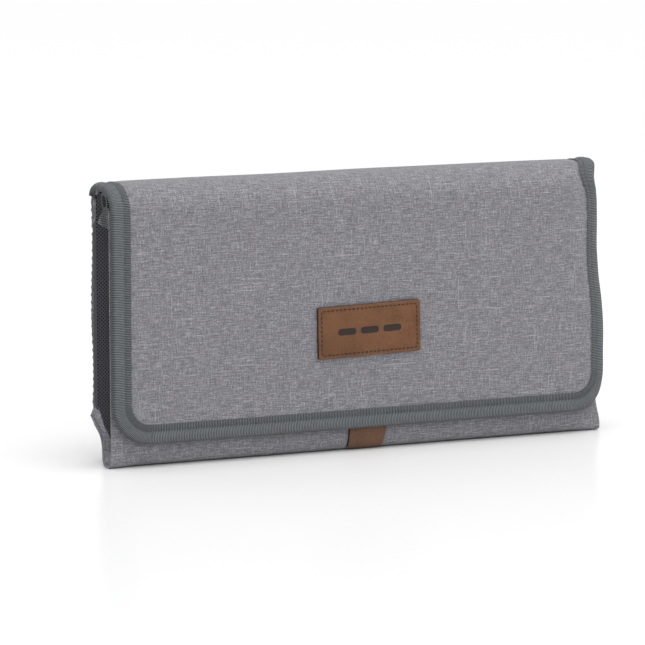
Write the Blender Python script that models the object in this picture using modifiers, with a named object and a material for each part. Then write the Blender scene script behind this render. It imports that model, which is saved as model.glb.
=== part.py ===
"""Portable changing pad: a soft pouch with a hinged flap, a strap and a folding mat behind it.

Metres, +Z up, front face towards -Y, origin at the middle of the underside.
"""
import math

import bmesh
import bpy
from mathutils import Matrix, Vector

MM = 0.001

# Overall size
HALF_WIDTH = 170.0 * MM          # to the outside of the flap's bindings
HEIGHT = 172.5 * MM              # to the top of the closed flap
FRONT_Y = -20.2 * MM             # outside of the closed flap
REAR_Y = 20.2 * MM               # outside of the hood lip
GAP = 0.1 * MM                   # between layers of one sewn panel

# Flap
FLAP_BOTTOM_Z = 14.0 * MM
FLAP_CORNER_R = 25.0 * MM
TAPE_WIDTH = 12.5 * MM           # 25 mm tape folded in half
TAPE_THICKNESS = 0.5 * MM
FLAP_SHELL_T = 0.8 * MM
FLAP_FOAM_T = 1.2 * MM
FLAP_LINING_T = 0.6 * MM
FLAP_FRONT_TOP_Z = 155.0 * MM
CREASE_AXIS = (FRONT_Y, 155.5 * MM)   # (y, z) of the fold between the flap's roof and front
FLAP_AXIS = (REAR_Y, 164.2 * MM)      # (y, z) of the fold between the hood and the flap's roof
FRONT_ARC = (-1.0 * MM, 155.0 * MM)   # centre of the rounding over the front of the top
REAR_ARC = (7.0 * MM, 163.0 * MM)     # centre of the rounding over the back of the top

# Patch, strap and press stud
PATCH_SIZE = (70.0 * MM, 1.2 * MM, 33.0 * MM)
PATCH_Z = 76.0 * MM
STRAP_WIDTH = 25.5 * MM
STRAP_T = 1.5 * MM
STRAP_BOTTOM_Z = 1.5 * MM
STRAP_TOP_Z = 46.0 * MM
STRAP_Y = -14.45 * MM            # middle of the strap's thickness, and its hinge axis
STUD_Z = 38.0 * MM

# Pouch
BODY_HALF_WIDTH = 168.0 * MM
POUCH_FRONT_Y = -13.4 * MM       # outer face of the pouch's front shell
MOUTH_Z = 157.0 * MM
BACK_WALL_Y = 7.2 * MM           # rear face of the wall between the pouch and the mat
BACK_WALL_TOP_Z = 167.9 * MM
HOOD_DEPTH = 3.6 * MM            # from the flap's outer face to the middle of the hood
SHEET_T = 0.9 * MM

# Mat
MAT_PANELS = 5
MAT_PITCH = 2.4 * MM
MAT_PANEL_T = 2.1 * MM
MAT_FRONT_Y = 7.6 * MM           # front face of the first panel
MAT_HINGE_LOW_Z = 32.5 * MM
MAT_HINGE_HIGH_Z = 161.0 * MM
MAT_END_CLEARANCE = 0.5 * MM     # from a hinge axis to the panels' ends
MAT_HALF_WIDTH = 167.5 * MM
MAT_TAPE_WIDTH = 8.0 * MM


def clear_scene():
    for old in list(bpy.data.objects):
        bpy.data.objects.remove(old, do_unlink=True)


def make_material(name, colour, roughness, metallic=0.0):
    material = bpy.data.materials.new(name)
    material.use_nodes = True
    shader = material.node_tree.nodes["Principled BSDF"]
    shader.inputs["Base Color"].default_value = (*colour, 1.0)
    shader.inputs["Roughness"].default_value = roughness
    shader.inputs["Metallic"].default_value = metallic
    return material


def finish_object(name, mesh_builder, origin, material, bevel=0.0):
    """Turn a bmesh in world coordinates into a named object whose origin is at `origin`."""
    bmesh.ops.recalc_face_normals(mesh_builder, faces=mesh_builder.faces)
    bmesh.ops.translate(mesh_builder, verts=mesh_builder.verts, vec=-Vector(origin))
    mesh = bpy.data.meshes.new(name)
    mesh_builder.to_mesh(mesh)
    mesh_builder.free()
    part = bpy.data.objects.new(name, mesh)
    part.location = origin
    mesh.materials.append(material)
    COLLECTION.objects.link(part)
    if bevel > 0.0:
        rounding = part.modifiers.new("rounded_edges", "BEVEL")
        rounding.width = bevel
        rounding.segments = 1
        rounding.limit_method = "ANGLE"
    return part


def pivot_empty(name, y, z):
    """An empty on a joint's axis, which runs along X through (y, z)."""
    empty = bpy.data.objects.new(name, None)
    empty.empty_display_size = 0.02
    empty.location = (0.0, y, z)
    COLLECTION.objects.link(empty)
    return empty


def hang_on(part, parent):
    """Parent a piece to an empty without moving it."""
    part.parent = parent
    part.matrix_parent_inverse = Matrix.Translation(-parent.location)


def plate(name, low, high, material, bevel=0.15 * MM, origin=None):
    """A rectangular panel between two opposite corners."""
    low = Vector(low)
    high = Vector(high)
    builder = bmesh.new()
    bmesh.ops.create_cube(builder, size=1.0)
    bmesh.ops.scale(builder, verts=builder.verts, vec=high - low)
    bmesh.ops.translate(builder, verts=builder.verts, vec=(low + high) / 2)
    return finish_object(name, builder, origin or (low + high) / 2, material, bevel)


def prism(name, outline, axis, start, end, material, origin, bevel=0.0):
    """Extrude a closed outline. The outline is (y, z) for axis X, (x, z) for Y and (x, y) for Z."""
    builder = bmesh.new()
    place = {
        "X": lambda a, b, t: (t, a, b),
        "Y": lambda a, b, t: (a, t, b),
        "Z": lambda a, b, t: (a, b, t),
    }[axis]
    ring = [builder.verts.new(place(a, b, start)) for a, b in outline]
    base = builder.faces.new(ring)
    grown = bmesh.ops.extrude_face_region(builder, geom=[base])
    moved = [item for item in grown["geom"] if isinstance(item, bmesh.types.BMVert)]
    bmesh.ops.translate(builder, verts=moved, vec=place(0.0, 0.0, end - start))
    return finish_object(name, builder, origin, material, bevel)


def sheet(name, path, axis, start, end, thickness, material, origin):
    """Sweep an open path into a surface and give it an even thickness with Solidify."""
    builder = bmesh.new()
    if axis == "X":
        spine = [builder.verts.new((start, a, b)) for a, b in path]
        travel = (end - start, 0.0, 0.0)
    else:
        spine = [builder.verts.new((a, b, start)) for a, b in path]
        travel = (0.0, 0.0, end - start)
    edges = [builder.edges.new(pair) for pair in zip(spine, spine[1:])]
    grown = bmesh.ops.extrude_edge_only(builder, edges=edges)
    moved = [item for item in grown["geom"] if isinstance(item, bmesh.types.BMVert)]
    bmesh.ops.translate(builder, verts=moved, vec=travel)
    part = finish_object(name, builder, origin, material)
    solid = part.modifiers.new("thickness", "SOLIDIFY")
    solid.thickness = thickness
    solid.offset = 0.0
    solid.use_even_offset = True
    return part


def top_path(depth, first_y, steps=8):
    """(y, z) along the pad's rounded top at a depth below its outer face, from the front to the back."""
    path = []
    for index in range(steps + 1):
        angle = math.pi - math.pi / 2 * (index + 0.25) / (steps + 0.25)
        reach_y = FRONT_ARC[0] - FRONT_Y - depth
        reach_z = HEIGHT - FRONT_ARC[1] - depth
        path.append((FRONT_ARC[0] + reach_y * math.cos(angle), FRONT_ARC[1] + reach_z * math.sin(angle)))
    for index in range(steps + 1):
        angle = math.pi / 2 * (1 - index / (steps + 0.6))
        reach_y = REAR_Y - REAR_ARC[0] - depth
        reach_z = HEIGHT - REAR_ARC[1] - depth
        path.append((REAR_ARC[0] + reach_y * math.cos(angle), REAR_ARC[1] + reach_z * math.sin(angle)))
    kept = [point for point in path if point[0] > first_y]
    if len(kept) < len(path):
        kept.insert(0, (first_y, HEIGHT - depth))
    return kept


def flap_outline(inset, top_z):
    """(x, z) of the flap front's outline, with its two lower corners rounded."""
    half = HALF_WIDTH - inset
    bottom = FLAP_BOTTOM_Z + inset
    radius = FLAP_CORNER_R - inset
    steps = 8
    points = [(-half, top_z)]
    for index in range(steps + 1):
        angle = math.pi + math.pi / 2 * index / steps
        points.append((-half + radius + radius * math.cos(angle), bottom + radius + radius * math.sin(angle)))
    mirrored = [(-x, z) for x, z in points[::-1]]
    return points + mirrored


def flap_binding(name, material):
    """A folded tape that wraps the flap front's sides and lower edge."""
    top_z = FLAP_FRONT_TOP_Z
    front = FRONT_Y
    rear = FRONT_Y + 4.0 * MM
    skin = TAPE_THICKNESS
    section = [
        (0.0, front),
        (TAPE_WIDTH, front),
        (TAPE_WIDTH, front + skin),
        (skin, front + skin),
        (skin, rear - skin),
        (TAPE_WIDTH, rear - skin),
        (TAPE_WIDTH, rear),
        (0.0, rear),
    ]
    builder = bmesh.new()
    rings = []
    for inset, y in section:
        rings.append([builder.verts.new((x, y, z)) for x, z in flap_outline(inset, top_z)])
    count = len(rings)
    for index in range(count):
        here = rings[index]
        there = rings[(index + 1) % count]
        for step in range(len(here) - 1):
            builder.faces.new((here[step], here[step + 1], there[step + 1], there[step]))
    builder.faces.new([ring[0] for ring in rings])
    builder.faces.new([ring[-1] for ring in rings[::-1]])
    return finish_object(name, builder, (0.0, CREASE_AXIS[0], CREASE_AXIS[1]), material)


def turned_piece(name, profile, centre, material, parent, closed=False):
    """Turn a profile of (radius, y) points about the Y axis through `centre`."""
    builder = bmesh.new()
    points = [builder.verts.new((radius, y, 0.0)) for radius, y in profile]
    for pair in zip(points, points[1:]):
        builder.edges.new(pair)
    if closed:
        builder.edges.new((points[-1], points[0]))
    part = finish_object(name, builder, (0.0, 0.0, 0.0), material)
    part.location = centre
    turn = part.modifiers.new("turned", "SCREW")
    turn.axis = "Y"
    turn.steps = 24
    turn.render_steps = 24
    turn.use_merge_vertices = True
    turn.merge_threshold = 0.00001
    turn.use_normal_calculate = True
    turn.use_normal_flip = True
    hang_on(part, parent)
    return part


def build_pouch(fabric, tape, lining, mesh, board):
    half = BODY_HALF_WIDTH
    y = POUCH_FRONT_Y
    low = 9.6 * MM
    plate("pouch_front_shell", (-half, y, low), (half, y + 0.8 * MM, MOUTH_Z), fabric)
    inner = half - 4.0 * MM
    plate("pouch_front_stiffener", (-inner, y + 0.9 * MM, low + 1 * MM),
          (inner, y + 1.9 * MM, MOUTH_Z - 1 * MM), board)
    plate("pouch_front_lining", (-half, y + 2.0 * MM, low), (half, y + 2.5 * MM, MOUTH_Z), lining)

    # Folded tape over the pouch's mouth
    legs = [
        (y - 0.35 * MM, MOUTH_Z - 6 * MM),
        (y - 0.05 * MM, MOUTH_Z - 6 * MM),
        (y - 0.05 * MM, MOUTH_Z + 0.1 * MM),
        (y + 2.55 * MM, MOUTH_Z + 0.1 * MM),
        (y + 2.55 * MM, MOUTH_Z - 6 * MM),
        (y + 2.85 * MM, MOUTH_Z - 6 * MM),
        (y + 2.85 * MM, MOUTH_Z + 0.5 * MM),
        (y - 0.35 * MM, MOUTH_Z + 0.5 * MM),
    ]
    prism("pouch_mouth_binding", legs, "X", -half, half, tape, (0.0, y + 1.2 * MM, MOUTH_Z))

    # Wall between the pouch and the folded mat
    rear = BACK_WALL_Y
    foot = 29.9 * MM
    plate("pouch_back_shell", (-half, rear - 0.7 * MM, foot), (half, rear, BACK_WALL_TOP_Z), fabric)
    plate("pouch_back_stiffener", (-inner, rear - 1.6 * MM, foot + 1 * MM),
          (inner, rear - 0.8 * MM, BACK_WALL_TOP_Z - 1 * MM), board)
    plate("pouch_back_lining", (-half, rear - 2.2 * MM, foot), (half, rear - 1.7 * MM, BACK_WALL_TOP_Z), lining)

    # Bottom: a flat base, a rear slope and a ledge under the mat
    path = [
        (-12.95 * MM, 9.2 * MM),
        (-12.2 * MM, 5.0 * MM),
        (-10.6 * MM, 2.0 * MM),
        (-8.0 * MM, 0.45 * MM),
        (11.0 * MM, 0.45 * MM),
        (14.5 * MM, 5.0 * MM),
        (17.5 * MM, 13.0 * MM),
        (19.0 * MM, 20.0 * MM),
        (19.5 * MM, 25.8 * MM),
        (5.2 * MM, 29.0 * MM),
    ]
    sheet("pouch_bottom_shell", path, "X", -half, half, SHEET_T, fabric, (0.0, 0.0, 0.0))
    plate("bottom_stiffener", (-inner, -7.4 * MM, 1.1 * MM), (inner, 10.2 * MM, 2.3 * MM), board)
    plate("bottom_lining", (-inner, -7.4 * MM, 2.4 * MM), (inner, 10.2 * MM, 2.9 * MM), lining)

    # Ends: mesh gussets folded inwards, with a solid gusset below and a bound top edge
    closed_end = [
        (-13.4 * MM, 32.0 * MM),
        (-13.4 * MM, 9.2 * MM),
        (-12.6 * MM, 4.9 * MM),
        (-10.8 * MM, 1.6 * MM),
        (-8.1 * MM, 0.1 * MM),
        (11.0 * MM, 0.1 * MM),
        (14.9 * MM, 5.0 * MM),
        (17.9 * MM, 13.0 * MM),
        (19.4 * MM, 20.0 * MM),
        (19.8 * MM, 25.6 * MM),
        (7.0 * MM, 29.0 * MM),
        (7.0 * MM, 32.0 * MM),
    ]
    for side, sign in (("left", -1.0), ("right", 1.0)):
        fold = [
            (sign * 167.6 * MM, -9.7 * MM),
            (sign * 157.0 * MM, -3.0 * MM),
            (sign * 167.6 * MM, 3.9 * MM),
        ]
        start = sign * (half + 0.1 * MM)
        end = sign * (half + 0.9 * MM)
        prism(side + "_lower_gusset", closed_end, "X", start, end, fabric, (end, 0.0, 16.0 * MM))
        low = 34.0 * MM
        top = MOUTH_Z - 3.0 * MM
        origin = (sign * 167.6 * MM, -3.0 * MM, low)
        sheet(side + "_gusset_mesh", fold, "Z", low, top, 0.6 * MM, mesh, origin)
        origin = (sign * 167.6 * MM, -3.0 * MM, top)
        low = top + 0.2 * MM
        sheet(side + "_gusset_binding", fold, "Z", low, low + 4.8 * MM, 1.2 * MM, tape, origin)

    # Hood over the folded mat, inside the flap's roof, with bound ends
    hood = top_path(HOOD_DEPTH, 3.6 * MM)
    hood_half = 168.5 * MM
    origin = (0.0, REAR_ARC[0], HEIGHT - HOOD_DEPTH)
    sheet("hood_shell", hood, "X", -hood_half, hood_half, 0.8 * MM, fabric, origin)
    for side, sign in (("left", -1.0), ("right", 1.0)):
        start = sign * 168.6 * MM
        end = sign * HALF_WIDTH
        origin = (end, REAR_ARC[0], HEIGHT - HOOD_DEPTH)
        sheet(side + "_hood_binding", hood, "X", start, end, 1.6 * MM, tape, origin)


def build_flap(fabric, tape, lining, foam, leather, metal):
    pivot = (0.0, FLAP_AXIS[0], FLAP_AXIS[1])
    roof_half = 168.4 * MM
    outer = top_path(0.5 * MM, FRONT_Y)
    inner = top_path(1.5 * MM, FRONT_Y)
    sheet("flap_roof_shell", outer, "X", -roof_half, roof_half, 0.8 * MM, fabric, pivot)
    sheet("flap_roof_lining", inner, "X", -roof_half, roof_half, 0.6 * MM, lining, pivot)
    edge = top_path(1.15 * MM, FRONT_Y)
    for side, sign in (("left", -1.0), ("right", 1.0)):
        start = sign * 168.5 * MM
        end = sign * HALF_WIDTH
        sheet(side + "_roof_binding", edge, "X", start, end, 2.3 * MM, tape, pivot)

    pivot = (0.0, CREASE_AXIS[0], CREASE_AXIS[1])
    outline = flap_outline(0.7 * MM, FLAP_FRONT_TOP_Z)
    y = FRONT_Y + TAPE_THICKNESS + GAP
    prism("flap_front_shell", outline, "Y", y, y + FLAP_SHELL_T, fabric, pivot)
    y += FLAP_SHELL_T + GAP
    prism("flap_front_foam", outline, "Y", y, y + FLAP_FOAM_T, foam, pivot)
    y += FLAP_FOAM_T + GAP
    prism("flap_front_lining", outline, "Y", y, y + FLAP_LINING_T - GAP, lining, pivot)
    rear = y + FLAP_LINING_T - GAP
    flap_binding("flap_front_binding", tape)
    patch_rear = FRONT_Y + TAPE_THICKNESS
    half_w = PATCH_SIZE[0] / 2
    half_h = PATCH_SIZE[2] / 2
    plate("leather_patch", (-half_w, patch_rear - PATCH_SIZE[1], PATCH_Z - half_h),
          (half_w, patch_rear, PATCH_Z + half_h), leather, 0.3 * MM, pivot)
    flap_fold = pivot_empty("flap_crease_axis", CREASE_AXIS[0], CREASE_AXIS[1])
    stud = [
        (0.0, 1.05 * MM),
        (2.0 * MM, 1.05 * MM),
        (2.0 * MM, 0.4 * MM),
        (5.5 * MM, 0.4 * MM),
        (5.5 * MM, 0.0),
        (0.0, 0.0),
    ]
    turned_piece("snap_stud", stud, (0.0, rear + 0.05 * MM, STUD_Z), metal, flap_fold)


def build_strap(leather, metal):
    pivot = (0.0, STRAP_Y, STRAP_BOTTOM_Z)
    half = STRAP_WIDTH / 2
    radius = 8.0 * MM
    outline = [(-half, STRAP_BOTTOM_Z), (half, STRAP_BOTTOM_Z)]
    for index in range(7):
        angle = math.pi / 2 * index / 6
        outline.append((half - radius + radius * math.cos(angle), STRAP_TOP_Z - radius + radius * math.sin(angle)))
    for index in range(7):
        angle = math.pi / 2 + math.pi / 2 * index / 6
        outline.append((-half + radius + radius * math.cos(angle), STRAP_TOP_Z - radius + radius * math.sin(angle)))
    front = STRAP_Y - STRAP_T / 2
    prism("strap", outline, "Y", front, front + STRAP_T, leather, pivot, 0.2 * MM)
    strap_fold = pivot_empty("strap_axis", STRAP_Y, STRAP_BOTTOM_Z)
    ring = [(6.0 * MM, 0.0), (3.6 * MM, 0.0), (3.6 * MM, -0.6 * MM), (6.0 * MM, -0.6 * MM)]
    turned_piece("snap_socket", ring, (0.0, front - 0.05 * MM, STUD_Z), metal, strap_fold, True)


def build_mat(fabric, tape, foam):
    low = MAT_HINGE_LOW_Z + MAT_END_CLEARANCE
    high = MAT_HINGE_HIGH_Z - MAT_END_CLEARANCE
    sleeve_half = MAT_HALF_WIDTH - 1.0 * MM
    for index in range(MAT_PANELS):
        name = "mat_" + str(index + 1)
        y = MAT_FRONT_Y + MAT_PITCH * index
        hinge_z = MAT_HINGE_LOW_Z if index % 2 == 0 else MAT_HINGE_HIGH_Z
        hinge_y = y - (MAT_PITCH - MAT_PANEL_T) / 2
        pivot = (0.0, hinge_y, hinge_z)
        sleeve = plate(name + "_sleeve", (-sleeve_half, y + 0.3 * MM, low), (sleeve_half, y + 1.8 * MM, high),
                       fabric, 0.0, pivot)
        hollow = plate(name + "_hollow", (-0.2, y + 0.65 * MM, low + 0.4 * MM), (0.2, y + 1.45 * MM, high - 0.4 * MM),
                       fabric, 0.0, pivot)
        COLLECTION.objects.unlink(hollow)
        CUTTERS.objects.link(hollow)
        hollow.hide_render = True
        hollow.display_type = "WIRE"
        cut = sleeve.modifiers.new("open_ends", "BOOLEAN")
        cut.operation = "DIFFERENCE"
        cut.solver = "EXACT"
        cut.object = hollow
        core_half = sleeve_half - 6.0 * MM
        plate(name + "_core", (-core_half, y + 0.7 * MM, low + 1.0 * MM), (core_half, y + 1.4 * MM, high - 1.0 * MM),
              foam, 0.0, pivot)
        for side, sign in (("left", -1.0), ("right", 1.0)):
            outer = sign * MAT_HALF_WIDTH
            web = sign * (MAT_HALF_WIDTH - 0.5 * MM)
            inner = sign * (MAT_HALF_WIDTH - MAT_TAPE_WIDTH)
            section = [
                (inner, y),
                (outer, y),
                (outer, y + MAT_PANEL_T),
                (inner, y + MAT_PANEL_T),
                (inner, y + 1.85 * MM),
                (web, y + 1.85 * MM),
                (web, y + 0.25 * MM),
                (inner, y + 0.25 * MM),
            ]
            prism(name + "_" + side + "_binding", section, "Z", low, high, tape, pivot)


clear_scene()
COLLECTION = bpy.data.collections.new("changing_pad")
bpy.context.scene.collection.children.link(COLLECTION)
CUTTERS = bpy.data.collections.new("cutters")
bpy.context.scene.collection.children.link(CUTTERS)

FABRIC = make_material("melange_fabric", (0.29, 0.28, 0.30), 0.9)
TAPE = make_material("grosgrain_tape", (0.15, 0.18, 0.18), 0.85)
LINING = make_material("lining_fabric", (0.20, 0.20, 0.21), 0.8)
MESH = make_material("mesh_fabric", (0.04, 0.04, 0.045), 0.9)
BOARD = make_material("stiffener_board", (0.45, 0.44, 0.42), 0.7)
FOAM = make_material("foam", (0.78, 0.77, 0.74), 0.95)
LEATHER = make_material("leather", (0.26, 0.13, 0.07), 0.6)
METAL = make_material("snap_metal", (0.55, 0.55, 0.56), 0.35, 1.0)

build_pouch(FABRIC, TAPE, LINING, MESH, BOARD)
build_flap(FABRIC, TAPE, LINING, FOAM, LEATHER, METAL)
build_strap(LEATHER, METAL)
build_mat(FABRIC, TAPE, FOAM)
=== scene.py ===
"""Visual model of a folded changing pad: a soft pouch, a hinged flap, a strap and a folding mat.

Lengths are in millimetres unless a name says otherwise, and meshes are written in metres.
"""

import math

import bmesh
import bpy
import numpy as np
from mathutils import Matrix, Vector


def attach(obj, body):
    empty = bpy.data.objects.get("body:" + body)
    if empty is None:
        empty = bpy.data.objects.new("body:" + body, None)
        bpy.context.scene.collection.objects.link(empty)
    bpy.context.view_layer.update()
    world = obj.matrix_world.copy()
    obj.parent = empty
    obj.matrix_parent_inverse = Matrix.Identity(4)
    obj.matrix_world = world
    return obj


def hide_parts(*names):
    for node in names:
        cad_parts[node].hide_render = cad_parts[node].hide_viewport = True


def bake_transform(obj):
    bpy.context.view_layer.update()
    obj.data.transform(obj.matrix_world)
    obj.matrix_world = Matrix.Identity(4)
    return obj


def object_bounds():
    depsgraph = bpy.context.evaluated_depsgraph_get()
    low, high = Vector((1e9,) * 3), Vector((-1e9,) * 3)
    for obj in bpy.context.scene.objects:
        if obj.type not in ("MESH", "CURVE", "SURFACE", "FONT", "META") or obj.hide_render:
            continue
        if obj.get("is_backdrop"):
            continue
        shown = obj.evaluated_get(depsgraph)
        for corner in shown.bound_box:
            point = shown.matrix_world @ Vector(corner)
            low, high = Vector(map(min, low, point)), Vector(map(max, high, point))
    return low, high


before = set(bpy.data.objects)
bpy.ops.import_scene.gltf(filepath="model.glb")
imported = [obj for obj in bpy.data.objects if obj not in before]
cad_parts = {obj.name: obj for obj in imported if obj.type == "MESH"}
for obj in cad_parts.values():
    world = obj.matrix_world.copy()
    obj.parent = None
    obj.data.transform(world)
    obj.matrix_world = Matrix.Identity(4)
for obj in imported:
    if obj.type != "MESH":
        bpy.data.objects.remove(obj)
MM = 0.001


def corners(box):
    """A box's two corners as plain lists."""
    return [list(box[0]), list(box[1])]


SIZE = {"cad": corners(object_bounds())}

# ------------------------ dimensions
# The flap spans the CAD model's box, sideways and upwards.
BOX_HIGH = [round(value / MM, 1) for value in SIZE["cad"][1]]
FLAP_HALF = BOX_HIGH[0]
FLAP_BOTTOM = 14.0
FLAP_CORNER = 25.0
FLAP_THICKNESS = 2.4
TAPE_WIDTH = 12.3
FRONT_Y = -20.2
TOP_Z = BOX_HIGH[2]
TOP_FOLD_Z = 155.0      # the flap's front is straight below this
STITCH_INSET = 8.4
STITCH_HEIGHT = 0.12
STITCH_PITCH = 3.2
STITCH_LENGTH = 2.3
STITCH_RADIUS = 0.28
COVER_INSET = 1.2       # the flap's cover stops short of the tape's edge
PATCH_CENTRE = (0.0, 76.0)
PATCH_HALF = (35.0, 16.2)
STUD_Z = 38.0
STRAP_HALF = 12.9
STRAP_CORNER = 8.0
MAT_PITCH = 2.4
MAT_THICKNESS = 2.1
MAT_FRONT = 7.6
MAT_LOW = 32.5
MAT_HIGH = 161.0
MAT_HALF = 167.5
BODY_LEFT = -169.2
BODY_RIGHT = 164.6
BODY_TAPER = 20.0       # the pouch's section changes over this length at each end
END_DEPTH = 26.0        # the width of an end's mesh, laid flat
FOOT_LOW = 9.0          # the lower edge of an end's mesh, at the front
FOOT_RISE = 24.5        # how far that edge rises towards the rear
FOOT_BEND = 0.79        # the share of the end's depth where it starts to rise


# ------------------------ small helpers
def smooth(low, high, value):
    """0 up to low, 1 past high and an S between, or the other way round if low is the higher."""
    t = np.clip((np.asarray(value, float) - low) / (high - low), 0.0, 1.0)
    return t * t * (3.0 - 2.0 * t)


def ripple(a, b, seed=0.0):
    """A gentle, repeatable unevenness between about -1 and 1."""
    a = np.asarray(a, float)
    b = np.asarray(b, float)
    return (
        np.sin(a / 31.0 + b / 47.0 + seed)
        + 0.7 * np.sin(a / 17.0 - b / 23.0 + 2.1 + seed)
        + 0.5 * np.sin(b / 13.0 + a / 61.0 + 0.7 + 2 * seed)
    ) / 2.2


def travel(points):
    """The distance along a polyline at each of its points."""
    return np.concatenate([[0.0], np.cumsum(np.linalg.norm(np.diff(points, axis=0), axis=1))])


def left_of(points):
    """The unit direction square to a flat polyline, on its left, at each of its points."""
    slope = np.gradient(points, axis=0)
    slope /= np.linalg.norm(slope, axis=1)[:, None] + 1e-9
    return np.column_stack([-slope[:, 1], slope[:, 0]])


def stacked(*parts):
    """One array of points from arrays of coordinates, which are spread to a common shape."""
    return np.stack(np.broadcast_arrays(*parts), axis=-1)


def resample(points, step):
    """Points at even distances of about `step` along a polyline, and the distances."""
    points = np.asarray(points, float)
    lengths = travel(points)
    count = max(2, int(round(lengths[-1] / step)) + 1)
    at = np.linspace(0.0, lengths[-1], count)
    return np.column_stack([np.interp(at, lengths, values) for values in points.T]), at


def round_path(points):
    """Two rounds of corner cutting, which turn a coarse polyline into a smooth one."""
    points = np.asarray(points, float)
    for _ in range(2):
        first = points[:-1] * 0.75 + points[1:] * 0.25
        second = points[:-1] * 0.25 + points[1:] * 0.75
        inner = np.empty((2 * len(first), points.shape[1]))
        inner[0::2] = first
        inner[1::2] = second
        points = np.vstack([points[:1], inner[1:-1], points[-1:]])
    return points


# ------------------------ meshes
def add_object(name, data):
    """One object in the scene, which shows the given mesh, lamp or camera."""
    added = bpy.data.objects.new(name, data)
    bpy.context.scene.collection.objects.link(added)
    return added


def mesh_piece(name, points, faces, materials, uv=None, indices=None):
    """One object from points in millimetres, with outward normals and smooth shading."""
    mesh = bpy.data.meshes.new(name)
    mesh.from_pydata([tuple(p) for p in np.asarray(points, float) * MM], [], faces)
    for material in materials:
        mesh.materials.append(material)
    if indices is not None:
        mesh.polygons.foreach_set("material_index", np.asarray(indices, np.int32))
    if uv is not None:
        layer = mesh.uv_layers.new(name="cloth")
        loops = np.zeros(len(mesh.loops), np.int32)
        mesh.loops.foreach_get("vertex_index", loops)
        layer.data.foreach_set("uv", np.asarray(uv, float)[loops].ravel().astype(np.float32))
    builder = bmesh.new()
    builder.from_mesh(mesh)
    bmesh.ops.recalc_face_normals(builder, faces=builder.faces)
    builder.to_mesh(mesh)
    builder.free()
    mesh.shade_smooth()
    mesh.set_sharp_from_angle(angle=math.radians(50))
    return add_object(name, mesh)


def grid_faces(rows, columns, start=0, loop=False):
    """The faces of a grid of points. A loop also joins the last column to the first."""
    faces = []
    reach = columns if loop else columns - 1
    for i in range(rows - 1):
        for j in range(reach):
            k = (j + 1) % columns
            a = start + i * columns
            b = a + columns
            faces.append((a + j, a + k, b + k, b + j))
    return faces


def border(rows, columns):
    """Vertex numbers round a grid's edge."""
    ring = list(range(columns))
    ring += [i * columns + columns - 1 for i in range(1, rows)]
    ring += [(rows - 1) * columns + j for j in range(columns - 2, -1, -1)]
    ring += [i * columns for i in range(rows - 2, 0, -1)]
    return ring


def two_faced(name, outer, inner, uv, outer_material, inner_material):
    """A closed piece from two grids of points, one for each face."""
    rows, columns = outer.shape[:2]
    count = rows * columns
    points = np.vstack([outer.reshape(-1, 3), inner.reshape(-1, 3)])
    front = grid_faces(rows, columns)
    back = grid_faces(rows, columns, count)
    ring = border(rows, columns)
    rim = []
    for here, there in zip(ring, ring[1:] + ring[:1]):
        rim.append((here, there, there + count, here + count))
    indices = [0] * len(front) + [1] * len(back) + [0] * len(rim)
    flat_uv = np.vstack([uv.reshape(-1, 2)] * 2)
    return mesh_piece(name, points, front + back + rim, [outer_material, inner_material], flat_uv, indices)


def sweep(name, rings, material, uv=None):
    """A closed tube through rings of points. The rings have shape (stations, around, 3)."""
    stations, around = rings.shape[:2]
    faces = grid_faces(stations, around, loop=True)
    faces.append(tuple(range(around)))
    faces.append(tuple((stations - 1) * around + j for j in range(around)))
    flat_uv = None if uv is None else uv.reshape(-1, 2)
    return mesh_piece(name, rings.reshape(-1, 3), faces, [material], flat_uv)


def turned(name, profile, centre, material):
    """Turn (radius, y) points about the Y axis through `centre`."""
    sides = 40
    angles = np.linspace(0, 2 * math.pi, sides, endpoint=False)
    radius, y = np.array(profile).T[:, :, None]
    rings = stacked(centre[0] + radius * np.cos(angles), centre[1] + y, centre[2] + radius * np.sin(angles))
    return sweep(name, rings, material)


# (share of its length, share of its radius, rise in radii) at the four rings of a stitch
STITCH_RINGS = ((0.0, 0.45, -0.9), (0.15, 0.95, 0.0), (0.85, 0.95, 0.0), (1.0, 0.45, -0.9))


def stitches(name, starts, ends, ups, radius, material):
    """Short threads, each a small capsule from a start to an end, with its top towards `up`."""
    points = []
    faces = []
    sides = 6
    for start, end, up in zip(starts, ends, ups):
        along = end - start
        along /= np.linalg.norm(along) + 1e-9
        across = np.cross(along, up)
        across /= np.linalg.norm(across) + 1e-9
        lift = np.cross(across, along)
        base = len(points)
        for share, scale, rise in STITCH_RINGS:
            middle = start + (end - start) * share + lift * radius * rise
            for side in range(sides):
                angle = 2 * math.pi * side / sides
                points.append(middle + radius * scale * (across * math.cos(angle) + lift * math.sin(angle)))
        faces += grid_faces(len(STITCH_RINGS), sides, base, loop=True)
        faces.append(tuple(base + side for side in range(sides)))
        faces.append(tuple(base + 3 * sides + side for side in range(sides)))
    return mesh_piece(name, np.array(points), faces, [material])


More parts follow.
